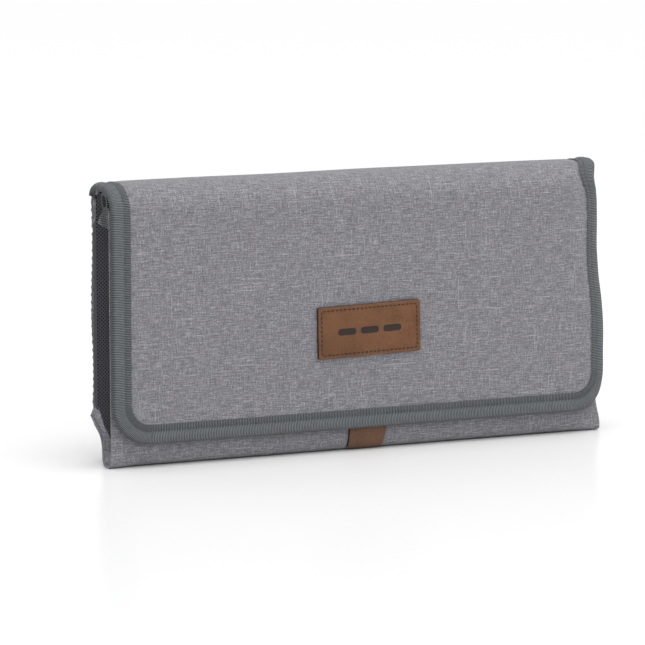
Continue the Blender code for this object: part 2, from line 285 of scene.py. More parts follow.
# ------------------------ materials
class Nodes:
    """A short way to write a material's nodes."""

    def __init__(self, name):
        self.material = bpy.data.materials.new(name)
        self.material.use_nodes = True
        self.tree = self.material.node_tree
        self.shader = self.tree.nodes["Principled BSDF"]

    def add(self, kind, **values):
        node = self.tree.nodes.new(kind)
        for key, value in values.items():
            setattr(node, key, value)
        return node

    def join(self, source, target):
        self.tree.links.new(source, target)

    def feed(self, socket, value):
        if isinstance(value, bpy.types.NodeSocket):
            self.join(value, socket)
        else:
            socket.default_value = value

    def coordinates(self, scale=(1.0, 1.0, 1.0), uv=True, rotate=0.0):
        source = self.add("ShaderNodeTexCoord").outputs["UV" if uv else "Object"]
        mapping = self.add("ShaderNodeMapping")
        mapping.inputs["Scale"].default_value = scale
        mapping.inputs["Rotation"].default_value = (0.0, 0.0, rotate)
        self.join(source, mapping.inputs["Vector"])
        return mapping.outputs["Vector"]

    def noise(self, scale, detail=2.0, uv=True, roughness=0.5):
        node = self.add("ShaderNodeTexNoise")
        node.inputs["Scale"].default_value = 1.0
        node.inputs["Detail"].default_value = detail
        node.inputs["Roughness"].default_value = roughness
        self.join(self.coordinates(scale, uv), node.inputs["Vector"])
        return node.outputs["Fac"]

    def bands(self, per_metre, axis="X", rotate=0.0):
        node = self.add("ShaderNodeTexWave", wave_type="BANDS", bands_direction=axis)
        node.inputs["Scale"].default_value = per_metre * math.pi / 10.0
        self.join(self.coordinates(rotate=rotate), node.inputs["Vector"])
        return node.outputs["Fac"]

    def math(self, operation, first, second):
        node = self.add("ShaderNodeMath", operation=operation)
        self.feed(node.inputs[0], first)
        self.feed(node.inputs[1], second)
        return node.outputs["Value"]

    def weighted(self, first, share, second, other_share):
        first = self.math("MULTIPLY", first, share)
        return self.math("ADD", first, self.math("MULTIPLY", second, other_share))

    def spread(self, value, low, high, amount):
        """From 0 at low to `amount` at high."""
        node = self.add("ShaderNodeMapRange")
        for key, number in (("From Min", low), ("From Max", high), ("To Min", 0.0), ("To Max", amount)):
            node.inputs[key].default_value = number
        self.feed(node.inputs["Value"], value)
        return node.outputs["Result"]

    def colours(self, value, *stops):
        node = self.add("ShaderNodeValToRGB")
        ramp = node.color_ramp
        while len(ramp.elements) < len(stops):
            ramp.elements.new(0.5)
        for element, (position, colour) in zip(ramp.elements, stops):
            element.position = position
            element.color = (*colour, 1.0)
        self.feed(node.inputs["Fac"], value)
        return node.outputs["Color"]

    def bump(self, height, strength, distance):
        node = self.add("ShaderNodeBump")
        node.inputs["Strength"].default_value = strength
        node.inputs["Distance"].default_value = distance
        self.feed(node.inputs["Height"], height)
        self.join(node.outputs["Normal"], self.shader.inputs["Normal"])

    def finish(self, colour, roughness, sheen=0.0, metallic=0.0, specular=0.5):
        self.feed(self.shader.inputs["Base Color"], colour)
        self.shader.inputs["Roughness"].default_value = roughness
        self.shader.inputs["Sheen Weight"].default_value = sheen
        self.shader.inputs["Sheen Roughness"].default_value = 0.5
        self.shader.inputs["Metallic"].default_value = metallic
        self.shader.inputs["Specular IOR Level"].default_value = specular
        return self.material


def melange(name, dark, middle, light):
    """Woven mélange cloth: streaks of light and dark yarn along both threads."""
    n = Nodes(name)
    weft = n.noise((130.0, 1500.0, 130.0), 2.0, roughness=0.6)
    warp = n.noise((1500.0, 160.0, 1500.0), 2.0, roughness=0.6)
    fine = n.noise((1000.0, 1000.0, 1000.0), 1.0)
    blend = n.math("ADD", n.weighted(weft, 0.40, warp, 0.30), n.math("MULTIPLY", fine, 0.30))
    for scale, detail, low, high, amount in (
        ((75.0, 1150.0, 75.0), 1.0, 0.66, 0.80, 0.09),
        ((1150.0, 85.0, 1150.0), 1.0, 0.67, 0.82, 0.07),
        ((30.0, 1000.0, 30.0), 0.0, 0.70, 0.80, 0.08),
        ((1000.0, 32.0, 1000.0), 0.0, 0.71, 0.82, 0.07),
    ):
        blend = n.math("ADD", blend, n.spread(n.noise(scale, detail), low, high, amount))
    colour = n.colours(blend, (0.33, dark), (0.50, middle), (0.68, light))
    weave = n.math("MULTIPLY", n.bands(1700.0, "X"), n.bands(1700.0, "Y"))
    n.bump(n.weighted(blend, 0.9, weave, 0.35), 0.55, 0.0004)
    return n.finish(colour, 0.92, sheen=0.12, specular=0.25)


def grosgrain(name, valley, crest, pitch=1.05):
    """Ribbed tape: U runs along the tape, and V across it from its outer edge."""
    n = Nodes(name)
    rib = n.bands(1000.0 / pitch, "X")
    uneven = n.noise((700.0, 260.0, 1.0), 2.0)
    tone = n.weighted(rib, 0.72, uneven, 0.28)
    inset = n.add("ShaderNodeSeparateXYZ")
    n.join(n.coordinates(), inset.inputs["Vector"])
    # Painted shade: the tape is darkened past its stitch line towards its inner edge, and darkened more along
    # its folded outer edge, where it curves away from the light.
    tone = n.math("SUBTRACT", tone, n.spread(inset.outputs["Y"], 0.0068, 0.0088, 0.10))
    tone = n.math("SUBTRACT", tone, n.spread(inset.outputs["Y"], 0.0020, 0.0, 0.30))
    colour = n.colours(tone, (0.12, valley), (0.85, crest))
    n.bump(rib, 0.9, 0.00045)
    return n.finish(colour, 0.8, sheen=0.1, specular=0.3)


def plain_cloth(name, dark, light, pitch=0.8, roughness=0.75):
    """Plain woven cloth with a thread every `pitch` millimetres."""
    n = Nodes(name)
    weave = n.math("MULTIPLY", n.bands(1000.0 / pitch, "X"), n.bands(1000.0 / pitch, "Y"))
    mottle = n.noise((300.0, 300.0, 300.0), 3.0)
    tone = n.weighted(weave, 0.4, mottle, 0.6)
    n.bump(tone, 0.35, 0.0002)
    return n.finish(n.colours(tone, (0.25, dark), (0.75, light)), roughness, specular=0.35)


def mesh_cloth(name, hole, thread, pitch=1.3):
    """Open spacer mesh, with dark holes in a diagonal pattern."""
    n = Nodes(name)
    one = n.bands(1000.0 / pitch, "X", rotate=math.radians(35))
    two = n.bands(1000.0 / pitch, "X", rotate=math.radians(-35))
    holes = n.math("MULTIPLY", one, two)
    n.bump(holes, 0.6, 0.0004)
    return n.finish(n.colours(holes, (0.25, thread), (0.55, hole)), 0.85, specular=0.2)


def hide(name, dark, light, roughness=0.5):
    """Smooth leather with a fine grain."""
    n = Nodes(name)
    grain = n.noise((900.0, 900.0, 900.0), 3.0, False)
    mottle = n.noise((70.0, 70.0, 70.0), 3.0, False)
    tone = n.weighted(grain, 0.45, mottle, 0.55)
    n.bump(grain, 0.25, 0.0002)
    return n.finish(n.colours(tone, (0.33, dark), (0.66, light)), roughness, specular=0.35)


def simple(name, dark, light, roughness, scale=400.0, metallic=0.0, bump=0.2):
    """A plain surface with a faint grain."""
    n = Nodes(name)
    grain = n.noise((scale, scale, scale), 2.0, False)
    n.bump(grain, bump, 0.0001)
    return n.finish(n.colours(grain, (0.35, dark), (0.65, light)), roughness, metallic=metallic)


MELANGE = melange("melange_fabric", (0.100, 0.098, 0.108), (0.207, 0.203, 0.220), (0.42, 0.415, 0.44))
GROSGRAIN = grosgrain("grosgrain_tape", (0.018, 0.022, 0.024), (0.232, 0.250, 0.265))
LINING = plain_cloth("lining_fabric", (0.20, 0.20, 0.21), (0.30, 0.30, 0.31))
WIPE_CLEAN = plain_cloth("wipe_clean_face", (0.42, 0.43, 0.44), (0.54, 0.55, 0.56), 1.2, 0.5)
MESH_CLOTH = mesh_cloth("mesh_fabric", (0.010, 0.010, 0.012), (0.075, 0.076, 0.085))
LEATHER = hide("patch_leather", (0.108, 0.042, 0.016), (0.188, 0.079, 0.031))
STRAP_LEATHER = hide("strap_leather", (0.094, 0.044, 0.024), (0.156, 0.077, 0.043))
LEATHER_EDGE = hide("leather_edge", (0.012, 0.009, 0.008), (0.035, 0.022, 0.017), 0.7)
BURNISHED = hide("burnished_mark", (0.016, 0.009, 0.007), (0.030, 0.017, 0.012), 0.45)
THREAD = simple("tape_thread", (0.05, 0.06, 0.06), (0.10, 0.11, 0.11), 0.7)
DARK_THREAD = simple("leather_thread", (0.015, 0.010, 0.008), (0.035, 0.022, 0.018), 0.6)
METAL = simple("snap_metal", (0.42, 0.42, 0.43), (0.60, 0.60, 0.61), 0.28, 900.0, 1.0, 0.05)


# ------------------------ the flap's surface
def make_profile():
    """(y, z) of the flap's outer face, from its rear hinge over the top and down the front."""
    points = []
    for angle in np.linspace(math.radians(6.0), math.pi / 2, 40):
        points.append((7.0 + 13.9 * math.cos(angle), 163.0 + 9.5 * math.sin(angle)))
    for y in np.linspace(6.0, 0.0, 7):
        points.append((y, TOP_Z))
    for angle in np.linspace(math.pi / 2, math.pi, 60):
        points.append((-1.0 + 19.2 * math.cos(angle), TOP_FOLD_Z + (TOP_Z - TOP_FOLD_Z) * math.sin(angle)))
    for z in np.linspace(TOP_FOLD_Z - 1.0, FLAP_BOTTOM, 141):
        points.append((FRONT_Y, z))
    points, at = resample(points, 0.5)
    return at, points, -left_of(points)


PROFILE_AT, PROFILE, PROFILE_NORMAL = make_profile()
Q_END = PROFILE_AT[-1]
Q_FRONT = Q_END - (TOP_FOLD_Z - FLAP_BOTTOM)      # where the front becomes upright
Q_MIDDLE = 26.0                                   # on the top, between the two folds


def front_q(z):
    """The place down the flap that lies at height z on its front."""
    return Q_FRONT + (TOP_FOLD_Z - z)


def flap_point(a, q, h=0.0):
    """A point at height h over the flap's outer face. a runs across the flap and q down it."""
    a, q, h = np.broadcast_arrays(np.asarray(a, float), np.asarray(q, float), np.asarray(h, float))
    y, z, ny, nz = [np.interp(q, PROFILE_AT, values) for values in (*PROFILE.T, *PROFILE_NORMAL.T)]
    down = q - Q_FRONT
    top = smooth(12.0, -18.0, down)
    low = smooth(38.0, 88.0, down)
    left_angle = math.radians(4) + math.radians(12) * top
    right_angle = math.radians(41) - math.radians(36) * smooth(4.0, -24.0, down)
    left_flat = 150.0
    right_flat = 140.0 + 13.0 * low
    # The flap is flat this far out, and curls back past it.
    flat = np.where(a > 0, right_flat, left_flat)
    bend = np.where(a > 0, right_angle, left_angle) / (FLAP_HALF - flat)
    past = np.clip(np.abs(a) - flat, 0.0, None)
    turn = bend * past
    drawn_in = 1.7 * (1 - low) + 5.0 * np.exp(-((down + 12.5) / 12.0) ** 2)
    tight = np.where(a > 0, drawn_in, 0.0) * smooth(90.0, 150.0, a)
    across = np.minimum(np.abs(a), flat) + np.sin(turn) / bend - tight
    back = (1 - np.cos(turn)) / bend
    side = np.sign(a)
    crown = 0.9 * np.clip(1 - (a / 165.0) ** 2, 0, 1) * np.sin(np.clip(down / 141.0, 0, 1) * math.pi)
    lift = h + crown + 0.28 * ripple(a, q) * smooth(168.0, 140.0, np.abs(a))
    return stacked(
        side * (across + np.sin(turn) * lift),
        y - ny * back + ny * np.cos(turn) * lift,
        z - nz * back + nz * np.cos(turn) * lift,
    )


def half_width(q, inset):
    """How far the flap reaches sideways at q, with its lower corners rounded."""
    q = np.asarray(q, float)
    centre = Q_END - FLAP_CORNER
    radius = FLAP_CORNER - inset
    deep = np.clip(q - centre, 0.0, radius - 1e-6)
    return FLAP_HALF - FLAP_CORNER + np.sqrt(radius * radius - deep * deep)


def flap_cover(name, start, end, bottom):
    """The flap's cloth, foam and lining as one soft panel. The bottom one ends in rounded corners."""
    if bottom:
        straight = np.arange(start, Q_END - FLAP_CORNER, 1.6)
        angles = np.linspace(0.0, math.pi / 2, 22)
        corner = Q_END - FLAP_CORNER + (FLAP_CORNER - COVER_INSET) * np.sin(angles)
        rows = np.concatenate([straight, corner])
    else:
        rows = np.linspace(start, end, max(4, int((end - start) / 1.2)))
    widest = FLAP_HALF - COVER_INSET
    edge = np.arange(0.0, 17.0, 0.5)
    half = np.concatenate([widest - edge, np.linspace(widest - 17.0, 0.0, 78)])
    columns = np.concatenate([-half, half[-2::-1]])
    q = np.repeat(rows[:, None], len(columns), axis=1)
    near = np.abs(columns)[None, :]
    pull = (half_width(rows, COVER_INSET) - widest)[:, None] if bottom else np.zeros((len(rows), 1))
    a = np.sign(columns)[None, :] * (near + pull * (near / widest) ** 3)
    gap = np.minimum(half_width(q, 0.0) - np.abs(a), Q_END - q)
    right = smooth(0.0, 40.0, a) * (1 - 0.75 * smooth(Q_END - 40.0, Q_END - 20.0, q))
    ditch = (0.15 + 0.75 * right) * np.exp(-((gap - (TAPE_WIDTH + 0.7)) / 0.7) ** 2)
    outer = flap_point(a, q, -ditch)
    inner = flap_point(a, q, -FLAP_THICKNESS)
    return two_faced(name, outer, inner, stacked(a * MM, -q * MM), MELANGE, LINING)


# (distance in from the flap's edge, height) round the folded tape, from its front inner edge
TAPE_SECTION = np.array([
    (TAPE_WIDTH, -0.1), (TAPE_WIDTH - 0.15, 0.3), (TAPE_WIDTH - 0.8, 0.42), (10.4, 0.42), (9.2, 0.3),
    (8.4, 0.0), (7.6, 0.4), (6.6, 0.95), (5.2, 1.4), (3.8, 1.5), (2.4, 1.3), (1.2, 0.75), (0.3, -0.2),
    (-0.05, -1.3), (0.15, -2.2), (0.8, -2.9), (2.0, -3.1), (8.0, -3.0), (TAPE_WIDTH - 0.3, -2.9),
    (TAPE_WIDTH - 0.3, -2.5), (8.0, -2.5), (3.0, -2.3), (3.0, -0.1), (9.0, 0.02),
])


def edge_path(start, end=None):
    """(a, q, inward a, inward q) along the flap's edge: down the left to `end`, or all the way round."""
    centre = Q_END - FLAP_CORNER
    inner = FLAP_HALF - FLAP_CORNER
    rows = []
    for q in np.arange(start, centre if end is None else end, 1.0):
        rows.append((-FLAP_HALF, q, 1.0, 0.0))
    if end is not None:
        rows.append((-FLAP_HALF, end, 1.0, 0.0))
        return np.array(rows)
    for angle in np.linspace(0.0, math.pi / 2, 40):
        cos = math.cos(angle)
        sin = math.sin(angle)
        rows.append((-inner - FLAP_CORNER * cos, centre + FLAP_CORNER * sin, cos, -sin))
    for a in np.arange(-inner + 1.0, 0.0, 1.0):
        rows.append((a, Q_END, 0.0, -1.0))
    rows.append((0.0, Q_END, 0.0, -1.0))
    left = np.array(rows)
    right = left[-2::-1] * np.array([-1.0, 1.0, -1.0, 1.0])
    return np.vstack([left, right])


def tape_on_edge(name, path):
    """The folded tape along a stretch of the flap's edge."""
    along = travel(path[:, :2])[:, None]
    inset, height = TAPE_SECTION.T[:, None, :]
    bulge = 1.0 + 0.12 * np.sin(along / 9.0) + 0.08 * np.sin(along / 3.7 + 1.0)
    height = height * np.where(height > 0, bulge, 1.0)
    a, q, inward_a, inward_q = path.T[:, :, None]
    rings = flap_point(a + inward_a * inset, q + inward_q * inset, height)
    return sweep(name, rings, GROSGRAIN, stacked(along * MM, inset * MM))


def edge_stitches(name, path):
    """The row of stitches that holds the tape."""
    along = travel(path[:, :2])
    centres = np.arange(STITCH_PITCH, along[-1] - STITCH_PITCH, STITCH_PITCH)

    def at(distance, lift):
        a, q, inward_a, inward_q = [np.interp(distance, along, values) for values in path.T]
        return flap_point(a + inward_a * STITCH_INSET, q + inward_q * STITCH_INSET, lift)

    starts = at(centres - STITCH_LENGTH / 2, STITCH_HEIGHT)
    ends = at(centres + STITCH_LENGTH / 2, STITCH_HEIGHT)
    ups = at(centres, STITCH_HEIGHT + 1.0) - at(centres, STITCH_HEIGHT)
    return stitches(name, starts, ends, ups, STITCH_RADIUS, THREAD)


def build_flap():
    """The flap's front and roof, their tapes and stitches."""
    cover = flap_cover("flap_cover", Q_MIDDLE, Q_END, True)
    path = edge_path(Q_MIDDLE)
    tape = tape_on_edge("flap_edge_tape", path)
    seam = edge_stitches("flap_tape_stitching", path)
    for piece in (cover, tape, seam):
        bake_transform(piece)
    rear = flap_cover("flap_rear_cover", 0.0, Q_MIDDLE, False)
    pieces = [rear]
    back_path = edge_path(0.0, Q_MIDDLE)
    for label, side in (("left", 1.0), ("right", -1.0)):
        side_path = back_path * np.array([side, 1.0, side, 1.0])
        pieces.append(tape_on_edge(label + "_rear_tape", side_path))
        pieces.append(edge_stitches(label + "_rear_stitching", side_path))
    for piece in pieces:
        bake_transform(piece)
    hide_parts("flap_front_shell", "flap_front_lining", "flap_front_foam")
    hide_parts("flap_roof_shell", "flap_roof_lining")
    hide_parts("flap_front_binding")
    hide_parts("left_roof_binding")
    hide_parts("right_roof_binding")


# ------------------------ leather patch
def rounded_rectangle(half_w, half_h, radius):
    """(x, z) points round a rectangle with rounded corners."""
    steps = 6
    points = []
    for cx, cz, first in ((1, 1, 0), (-1, 1, 90), (-1, -1, 180), (1, -1, 270)):
        for angle in np.radians(first + np.linspace(0.0, 90.0, steps + 1)):
            points.append((
                cx * (half_w - radius) + radius * math.cos(angle),
                cz * (half_h - radius) + radius * math.sin(angle),
            ))
    return np.array(points)


def tilted(outline):
    """The patch is sewn on slightly out of true."""
    angle = math.radians(1.4)
    cos = math.cos(angle)
    sin = math.sin(angle)
    x, z = outline.T
    return np.column_stack([x * cos - z * sin, x * sin + z * cos])


def on_patch(x, z, height):
    """A point over the flap, from its place across and up the patch."""
    return flap_point(PATCH_CENTRE[0] + x, front_q(PATCH_CENTRE[1] + z), height)


def slab_on_patch(name, half_w, half_h, radius, levels, materials, offset=0.0):
    """A rounded slab that follows the flap. Levels are (inset, height) from its edge to its middle."""
    stations = []
    uv = []
    for inset, height in levels:
        corner = min(max(radius - inset, 0.15), half_h - inset - 0.01)
        ring = tilted(rounded_rectangle(half_w - inset, half_h - inset, corner) + np.array([offset, 0.0]))
        stations.append(on_patch(ring[:, 0], ring[:, 1], height))
        uv.append(ring * MM)
    stations = np.array(stations)
    count, around = stations.shape[:2]
    faces = grid_faces(count, around, loop=True)
    indices = [1 if levels[face[0] // around][0] < 0.1 else 0 for face in faces]
    faces.append(tuple((count - 1) * around + j for j in range(around)))
    faces.append(tuple(range(around)))
    return mesh_piece(name, stations.reshape(-1, 3), faces, materials, np.vstack(uv), indices + [0, 1])


def patch_stitching():
    """The row of stitches just inside the patch's edge."""
    inset = 2.4
    pitch = 2.8
    length = 1.8
    height = 1.95
    outline = tilted(rounded_rectangle(PATCH_HALF[0] - inset, PATCH_HALF[1] - inset, 1.0))
    loop, at = resample(np.vstack([outline, outline[:1]]), 0.2)
    total = at[-1]
    count = int(total / pitch)
    centres = (np.arange(count) + 0.5) * total / count

    def spot(distance, lift):
        x, z = [np.interp(np.mod(distance, total), at, values) for values in loop.T]
        return on_patch(x, z, lift)

    starts = spot(centres - length / 2, height)
    ends = spot(centres + length / 2, height)
    ups = spot(centres, height + 1.0) - spot(centres, height)
    return stitches("patch_stitching", starts, ends, ups, 0.42, DARK_THREAD)


def build_patch():
    """The leather patch with a row of three plain bars."""
    levels = [
        (0.0, 0.0), (0.0, 1.7), (0.12, 1.9), (0.35, 2.0), (0.9, 2.05), (1.7, 2.03), (2.4, 1.85), (3.1, 2.03),
        (4.5, 2.05), (9.0, 2.05), (14.0, 2.05), (15.9, 2.05),
    ]
    patch = slab_on_patch("leather_patch_face", *PATCH_HALF, 1.6, levels, [LEATHER, LEATHER_EDGE])
    marks = []
    bar_levels = [(0.0, 1.85), (0.0, 2.07), (0.3, 2.11), (1.8, 2.11)]
    for index, offset in enumerate((-15.5, 0.0, 15.5)):
        name = "patch_bar_" + str(index + 1)
        marks.append(slab_on_patch(name, 6.2, 2.1, 2.0, bar_levels, [BURNISHED, BURNISHED], offset))
    thread = patch_stitching()
    for piece in [patch, thread] + marks:
        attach(piece, "flap_front")
    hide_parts("leather_patch")


# ------------------------ pouch
# (y, z) round the pouch at mid-length and at its ends: down the front, along the base and up the back
BODY_MIDDLE = [
    (-13.6, 157.0), (-13.6, 120.0), (-13.6, 80.0), (-13.6, 42.0), (-14.0, 24.0), (-14.9, 15.0), (-15.3, 10.0),
    (-15.1, 5.5), (-14.0, 2.2), (-11.8, 0.5), (-8.0, 0.05), (0.0, 0.0), (8.5, 0.0), (12.5, 1.4), (15.6, 5.5),
    (18.1, 13.0), (19.5, 20.0), (19.9, 24.6), (19.2, 26.6), (14.0, 27.9), (8.2, 29.0), (7.1, 31.0),
    (6.9, 60.0), (6.9, 115.0), (6.9, 171.0),
]
BODY_END = [
    (-13.9, 157.0), (-14.0, 120.0), (-14.2, 80.0), (-14.6, 42.0), (-14.9, 24.0), (-15.2, 15.0), (-15.3, 10.0),
    (-15.2, 5.0), (-14.6, 1.6), (-13.4, 0.4), (-11.0, 0.05), (-8.0, 0.0), (-4.6, 0.2), (-2.6, 2.6),
    (-1.6, 6.5), (0.6, 13.6), (6.0, 20.4), (13.8, 25.8), (16.6, 27.4), (13.0, 28.0), (8.1, 28.7), (7.0, 30.6),
    (6.9, 60.0), (6.9, 115.0), (6.9, 171.0),
]
BODY_PROFILES = round_path(BODY_MIDDLE), round_path(BODY_END)


def right_pull(x):
    """How far the pouch's front is drawn back towards its right end."""
    return 7.0 * smooth(BODY_RIGHT - 30.0, BODY_RIGHT + 4.0, x)


def body_station(x, offset=0.0):
    """The pouch's (y, z) outline at x, offset inwards."""
    middle, end = BODY_PROFILES
    if x < 0:
        share = smooth(BODY_LEFT + BODY_TAPER, BODY_LEFT, x)
    else:
        share = smooth(BODY_RIGHT - BODY_TAPER, BODY_RIGHT, x)
    y, z = (middle * (1 - share) + end * share).T
    if x > 0:
        y = y + right_pull(x) * smooth(-9.0, -13.0, y) * smooth(4.0, 45.0, z)
    else:
        # The ledge's left corner turns up towards the mat.
        ear = smooth(16.6, 13.6, y) * smooth(6.0, 8.5, y) * smooth(25.5, 27.5, z) * smooth(33.0, 30.0, z)
        ear = ear * smooth(BODY_LEFT + 2.6, BODY_LEFT + 0.6, x)
        z = z + np.minimum(5.8 * ear, np.maximum(33.6 - z, 0.0))
    low = smooth(30.0, 8.0, z) * smooth(-5.0, -13.0, y)
    outline = np.column_stack([y + 0.35 * ripple(x, z * 2.0, 1.3) * low, z])
    return outline + offset * left_of(outline)


def body_stations():
    """Places along the pouch, closer together towards its ends."""
    left = np.linspace(BODY_LEFT, BODY_LEFT + 34.0, 18)
    right = np.linspace(BODY_RIGHT - 34.0, BODY_RIGHT, 18)
    return np.concatenate([left, np.arange(BODY_LEFT + 38.0, BODY_RIGHT - 36.0, 4.0), right])


def flare(x, outline):
    """The ledge's corners stand out a little at the ends, and the base's toes shift along."""
    y, z = outline.T
    tip = 1.3 * np.exp(-((z - 28.0) / 3.0) ** 2) * smooth(6.0, 14.0, y)
    if x > 0:
        toe = 2.2 * smooth(20.0, 0.0, z) * smooth(-3.0, -9.0, y)
        return x + (tip + toe) * smooth(BODY_RIGHT - 6.0, BODY_RIGHT, x)
    toe = 0.9 * smooth(16.0, 2.0, z) * smooth(8.0, 2.0, y)
    return x - (tip + toe) * smooth(BODY_LEFT + 6.0, BODY_LEFT, x)


def build_body():
    """The pouch's outer cloth with its stiffeners: front, base, ledge and back in one wrap."""
    outer = []
    inner = []
    uv = []
    for x in body_stations():
        outline = body_station(x)
        outer.append(stacked(flare(x, outline), *outline.T))
        inner.append(stacked(x, *body_station(x, 0.9).T))
        uv.append(stacked(x, -travel(outline)) * MM)
    cover = two_faced("pouch_cover", np.array(outer), np.array(inner), np.array(uv), MELANGE, LINING)
    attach(cover, "pouch")
    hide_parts("pouch_front_shell", "pouch_back_shell", "pouch_bottom_shell", "pouch_front_stiffener",
                "pouch_back_stiffener", "bottom_stiffener")


def build_pouch_lining():
    """The lining of the pocket, one sheet from the mouth down, across and up the back."""
    path = round_path([
        (-11.3, 156.6), (-11.3, 60.0), (-11.4, 12.0), (-10.2, 5.0), (-7.0, 3.1), (0.0, 2.9), (5.0, 3.0),
        (8.0, 4.0), (10.5, 9.0), (12.0, 18.0), (11.0, 25.0), (6.4, 28.6), (5.0, 33.0), (4.9, 60.0),
        (4.9, 170.6),
    ])
    thickness = 0.5
    across = np.linspace(-156.0, 151.5, 60)[:, None]
    pull = right_pull(across) * smooth(-9.0, -11.0, path[:, 0])
    behind = path + thickness * left_of(path)
    face = stacked(across, path[:, 0] + pull, path[:, 1])
    back = stacked(across, behind[:, 0] + pull, behind[:, 1])
    steps = travel(path)
    lining = two_faced("pouch_lining", face, back, stacked(across * MM, -steps * MM), LINING, LINING)
    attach(lining, "pouch")
    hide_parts("pouch_front_lining", "pouch_back_lining", "bottom_lining")


def build_mouth_tape():
    """The folded tape over the pouch's front edge."""
    section = np.array([
        (-13.95, 151.0), (-14.1, 151.4), (-14.15, 155.0), (-13.9, 157.2), (-12.9, 158.0), (-11.6, 158.0),
        (-10.8, 157.2), (-10.6, 155.0), (-10.6, 151.4), (-10.7, 151.0), (-10.95, 151.4), (-11.0, 156.4),
        (-12.4, 157.2), (-13.6, 156.6), (-13.7, 151.4),
    ])
    across = np.linspace(-166.5, 163.0, 110)[:, None]
    rings = stacked(across, section[:, 0] + right_pull(across), section[:, 1] + 0.2 * np.sin(across / 11.0))
    uv = stacked(across * MM, np.linspace(0.0, 0.012, len(section)))
    tape = sweep("mouth_tape", rings, GROSGRAIN, uv)
    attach(tape, "pouch")
    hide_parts("pouch_mouth_binding")


END_SHARE = np.linspace(0.0, 1.0, 43)[None, :]      # from an end's front edge to its rear edge
MESH_FOOT = FOOT_LOW + FOOT_RISE * np.clip((END_SHARE - FOOT_BEND) / (1.0 - FOOT_BEND), 0.0, 1.0)


def end_edge(side, inset):
    """The x of an end of the pouch. The left side is -1."""
    return BODY_LEFT + inset if side < 0 else BODY_RIGHT - inset


def end_fold(side, share, z):
    """A point on the inward fold of one end. share runs from the front edge, 0, to the rear edge, 1."""
    front = -13.2 + (6.6 * smooth(4.0, 45.0, z) if side > 0 else 0.0)
    low = smooth(13.0, 4.0, z)
    rear_y = np.interp(z, [5.6, 9.5, 15.3, 23.9, 28.0], [-3.6, -2.1, 1.4, 5.8, 5.9])
    depth = (12.0 if side < 0 else 9.0) * (1 - 0.93 * low) - 3.0 * smooth(150.0, 168.0, z)
    apex = 0.42
    t = np.where(share < apex, share / apex, (1 - share) / (1 - apex))
    inward = depth * (1 - (1 - t) ** 1.6)
    y = front + (rear_y - front) * share
    wave = 0.35 * np.sin(z / 4.1 + share * 5.0) * t + 0.5 * np.sin(z / 15.0 + 2.0) * t
    return stacked(end_edge(side, 0.4) - side * (inward + wave), y, z)


def build_end_mesh(side, label):
    """The mesh part of an end. Its lower edge rises towards the rear."""
    rows = np.linspace(0.0, 1.0, 70)[:, None]
    z = MESH_FOOT + (152.0 + 13.0 * smooth(0.35, 0.95, END_SHARE) - MESH_FOOT) * rows
    outer = end_fold(side, END_SHARE, z)
    uv = stacked(END_SHARE * END_DEPTH * MM, z * MM)
    if side < 0:
        # Past the back wall the mesh runs on as a seam that hides the first two panels' ends.
        last = outer[:, -1:]
        height = z[:, -1:]
        fade = smooth(31.0, 37.0, height) * smooth(152.0, 146.0, height)
        wide = 0.1 + np.array([0.0, 1.0, 2.9, 5.0]) * fade
        seam = stacked(last[..., 0] + np.array([-0.7, -0.85, -0.9, -0.8]), last[..., 1] + wide, height)
        outer = np.concatenate([outer, seam], axis=1)
        uv = np.concatenate([uv, uv[:, -1:] + stacked(wide * MM, 0.0)], axis=1)
    inner = outer - np.array([side * 0.7, 0.0, 0.0])
    net = two_faced(label + "_end_mesh", outer, inner, uv, MESH_CLOTH, MESH_CLOTH)
    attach(net, "pouch")
    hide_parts(label + "_gusset_mesh")


def build_end_base(side, label):
    """The solid lower part of an end, which reaches back under the ledge."""
    rows = np.linspace(0.0, 1.0, 30)[:, None]
    z = (MESH_FOOT + 1.2) * rows + 0.4 * (1 - rows)
    outer = end_fold(side, END_SHARE, z)
    reach = 9.8 * smooth(15.0, 27.0, z)
    if side < 0:
        reach = reach * (1.0 - 0.3 * smooth(27.5, 32.5, z)) * smooth(34.2, 33.0, z)
    else:
        reach = reach * smooth(28.8, 27.8, z)
    boundary = FOOT_BEND + (1.0 - FOOT_BEND) * np.clip((z - FOOT_LOW) / FOOT_RISE, 0.0, 0.98)
    outer[..., 1] += reach * np.clip((END_SHARE - boundary) / (1.0 - boundary), 0.0, 1.0)
    outer[..., 0] += side * 0.35
    inner = outer - np.array([side * 0.8, 0.0, 0.0])
    uv = stacked(END_SHARE * END_DEPTH * MM, z * MM)
    base = two_faced(label + "_end_base", outer, inner, uv, MELANGE, LINING)
    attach(base, "pouch")
    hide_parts(label + "_lower_gusset")


def build_end_tape(side, label):
    """The tape over the mesh's top edge, a triangle that narrows upwards."""
    rows = np.linspace(0.0, 1.0, 24)[:, None]
    low = 141.0 + 7.0 * END_SHARE
    z = low + (158.5 - low) * rows
    y = -13.0 + (19.0 - 8.5 * rows ** 0.7) * END_SHARE
    inward = 3.2 * np.sin(END_SHARE * math.pi) ** 2 * (1 - rows) + 1.2 * rows
    puff = 0.5 * np.sin(rows * math.pi)
    bulge = np.where(y < -11.0, 1.5, 0.0)
    outer = stacked(end_edge(side, 0.2) - side * (inward - puff + bulge), y, z)
    inner = outer - np.array([side * 1.6, 0.0, 0.0])
    uv = stacked(z * MM + 0.2 * y * MM, y * MM)
    tape = two_faced(label + "_end_tape", outer, inner, uv, GROSGRAIN, GROSGRAIN)
    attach(tape, "pouch")
    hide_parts(label + "_gusset_binding")


